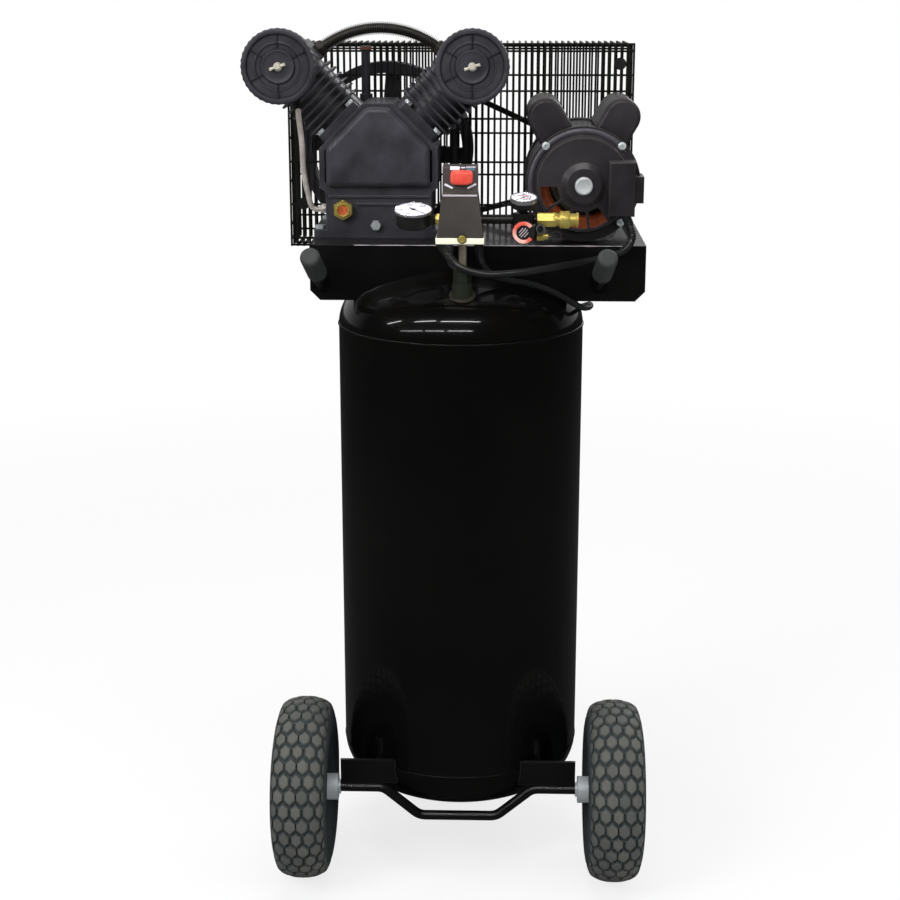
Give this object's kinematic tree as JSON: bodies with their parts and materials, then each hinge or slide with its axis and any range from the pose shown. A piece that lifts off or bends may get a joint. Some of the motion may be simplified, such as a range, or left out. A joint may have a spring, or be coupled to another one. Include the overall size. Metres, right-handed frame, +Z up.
{
  "type": "air compressor",
  "caption": "Wheeled upright air compressor: a belt-driven V-twin pump and electric motor on a tray over a vertical tank, with wire belt guard, pressure switch and regulated outlet.",
  "frame": {"origin": "middle of the machine's footprint, on the ground", "axes": "+Z up, +X to the right of someone facing the front, where the wheels and the pressure switch are, and +Y to the back, where the belt guard is"},
  "size_m": [0.5816, 0.565, 1.2323],
  "materials": {
    "tank_paint": "glossy black enamel",
    "frame_paint": "semi-gloss black powder coat",
    "guard_paint": "semi-gloss black powder coat on wire",
    "pump_paint": "black paint over cast iron",
    "motor_paint": "satin black enamel",
    "forged_iron": "machined",
    "steel": "machined",
    "zinc": "bright zinc plate",
    "galvanised": "galvanised",
    "rubber": "matt",
    "tyre": "matt",
    "belt_rubber": "matt",
    "aluminium": "cast",
    "black_plastic": "fine texture",
    "cream_plastic": "smooth",
    "red_plastic": "smooth",
    "needle_paint": "matt",
    "copper": "enamelled copper wire",
    "brass": "turned",
    "chrome": "polished",
    "cord_jacket": "smooth jacket"
  },
  "bodies": {
    "machine": {"tank_shell": "tank_paint", "tank_heads": "tank_paint", "axle_gussets": "frame_paint", "axle_rod": "steel", "wheel_retainers": "zinc", "rear_foot": "frame_paint", "rubber_feet": "rubber", "platform_tray": "frame_paint", "handle_bars": "frame_paint", "handle_grips": "rubber", "crankcase": "pump_paint", "crankcase_cover": "pump_paint", "bearings": "steel", "cylinders": "pump_paint", "pistons": "aluminium", "valve_plates": "pump_paint", "cylinder_heads": "pump_paint", "filter_bases": "black_plastic", "filter_covers": "black_plastic", "pump_tubes": "pump_paint", "breather_tube": "pump_paint", "oil_sight_glass": "brass", "hex_bolts": "zinc", "drive_belt": "belt_rubber", "guard_front_panel": "guard_paint", "guard_rear_shell": "guard_paint", "guard_clips": "black_plastic", "motor_shell": "motor_paint", "motor_front_bell": "motor_paint", "motor_rear_bell": "motor_paint", "stator_windings": "copper", "capacitor_covers": "motor_paint", "terminal_box": "motor_paint", "motor_base": "galvanised", "tank_fittings": "brass", "discharge_tube": "pump_paint", "switch_base": "cream_plastic", "switch_cover": "black_plastic", "cable_glands": "black_plastic", "gauge_cases": "chrome", "air_fittings": "brass", "motor_lead": "cord_jacket", "supply_cord": "cord_jacket", "cord_coil": "cord_jacket", "cord_plug": "cord_jacket"},
    "left_wheel": {"left_tyre": "tyre", "left_rim": "zinc"},
    "right_wheel": {"right_tyre": "tyre", "right_rim": "zinc"},
    "crank": {"crankshaft": "forged_iron", "flywheel": "pump_paint"},
    "rotor": {"motor_rotor": "steel", "motor_pulley": "pump_paint"},
    "switch_lever": {"switch_knob": "red_plastic"},
    "regulator_dial": {"regulator_knob": "black_plastic"},
    "tank_needle": {"tank_gauge_needle": "needle_paint"},
    "outlet_needle": {"outlet_gauge_needle": "needle_paint"},
    "sleeve": {"coupler_sleeve": "brass"},
    "relief_pull": {"safety_ring": "steel"},
    "drain_valve": {"drain_knob": "brass"}
  },
  "joints": [
    {"name": "left_wheel_roll", "type": "hinge", "parent": "machine", "child": "left_wheel", "pos_m": [-0.21222, -0.15, 0.1325], "axis": [1, 0, 0], "continuous": true},
    {"name": "right_wheel_roll", "type": "hinge", "parent": "machine", "child": "right_wheel", "pos_m": [0.24378, -0.15, 0.1325], "axis": [1, 0, 0], "continuous": true},
    {"name": "crank_turn", "type": "hinge", "parent": "machine", "child": "crank", "pos_m": [-0.10322, 0.225, 1.033], "axis": [0, 1, 0], "continuous": true},
    {"name": "rotor_turn", "type": "hinge", "parent": "machine", "child": "rotor", "pos_m": [0.18878, 0.225, 1.0075], "axis": [0, 1, 0], "continuous": true},
    {"name": "switch_turn", "type": "hinge", "parent": "machine", "child": "switch_lever", "pos_m": [0.01978, -0.13929, 1.027], "axis": [0, -0.9899, 0.1414], "range_deg": [-30, 30]},
    {"name": "regulator_turn", "type": "hinge", "parent": "machine", "child": "regulator_dial", "pos_m": [0.10378, -0.155, 0.9576], "axis": [0, -1, 0], "range_deg": [-360, 360]},
    {"name": "tank_needle_turn", "type": "hinge", "parent": "machine", "child": "tank_needle", "pos_m": [-0.04622, -0.12903, 0.98112], "axis": [0, -0.2419, 0.9703], "range_deg": [-270, 0]},
    {"name": "outlet_needle_turn", "type": "hinge", "parent": "machine", "child": "outlet_needle", "pos_m": [0.10378, -0.12903, 0.99812], "axis": [0, -0.2419, 0.9703], "range_deg": [-270, 0]},
    {"name": "sleeve_slide", "type": "slide", "parent": "machine", "child": "sleeve", "axis": [-1, 0, 0], "range_m": [0, 0.005], "stiffness_N_per_m": 900},
    {"name": "relief_slide", "type": "slide", "parent": "machine", "child": "relief_pull", "axis": [1, 0, 0], "range_m": [0, 0.003], "stiffness_N_per_m": 900},
    {"name": "drain_turn", "type": "hinge", "parent": "machine", "child": "drain_valve", "pos_m": [0.01578, 0, 0.05], "axis": [0, 0, 1], "range_deg": [0, 360]}
  ],
  "couplings": [
    {"joint": "rotor_turn", "follows": "crank_turn", "ratio": 4.322}
  ]
}
